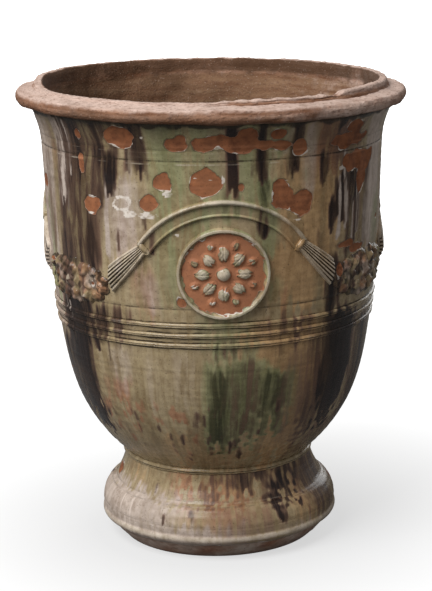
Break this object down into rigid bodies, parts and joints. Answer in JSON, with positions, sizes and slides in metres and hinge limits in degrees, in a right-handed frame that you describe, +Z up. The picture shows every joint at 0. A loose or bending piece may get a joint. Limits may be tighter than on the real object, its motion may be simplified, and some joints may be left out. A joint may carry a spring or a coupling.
{
  "type": "garden vase",
  "caption": "Large glazed earthenware garden vase on a hollow foot, with a heavy rim, girth cordons, medallions and garlands of husks and fruit, used as a floor planter.",
  "frame": {"origin": "on the floor under the middle of the foot", "axes": "+Z up along the vase's axis, -Y out of the front medallion"},
  "size_m": [0.6, 0.6, 0.727],
  "materials": {
    "glazed_earthenware": "worn lead glaze over cream slip, honey with green and brown runs",
    "glazed_sprigs": "worn lead glaze over press-moulded relief",
    "bare_earthenware": "bare fired clay, weathered"
  },
  "bodies": {
    "root": {"foot": "glazed_earthenware", "neck_cordon": "glazed_earthenware", "bowl": "glazed_earthenware", "cordon_lower": "glazed_earthenware", "cordon_middle": "glazed_earthenware", "cordon_upper": "glazed_earthenware", "wall": "glazed_earthenware", "rim": "bare_earthenware", "medallion_1": "glazed_sprigs", "arch_1": "glazed_sprigs", "husk_1_left": "glazed_sprigs", "husk_1_right": "glazed_sprigs", "fruit_1": "glazed_sprigs", "medallion_2": "glazed_sprigs", "arch_2": "glazed_sprigs", "husk_2_left": "glazed_sprigs", "husk_2_right": "glazed_sprigs", "fruit_2": "glazed_sprigs", "medallion_3": "glazed_sprigs", "arch_3": "glazed_sprigs", "husk_3_left": "glazed_sprigs", "husk_3_right": "glazed_sprigs", "fruit_3": "glazed_sprigs"}
  },
  "joints": []
}
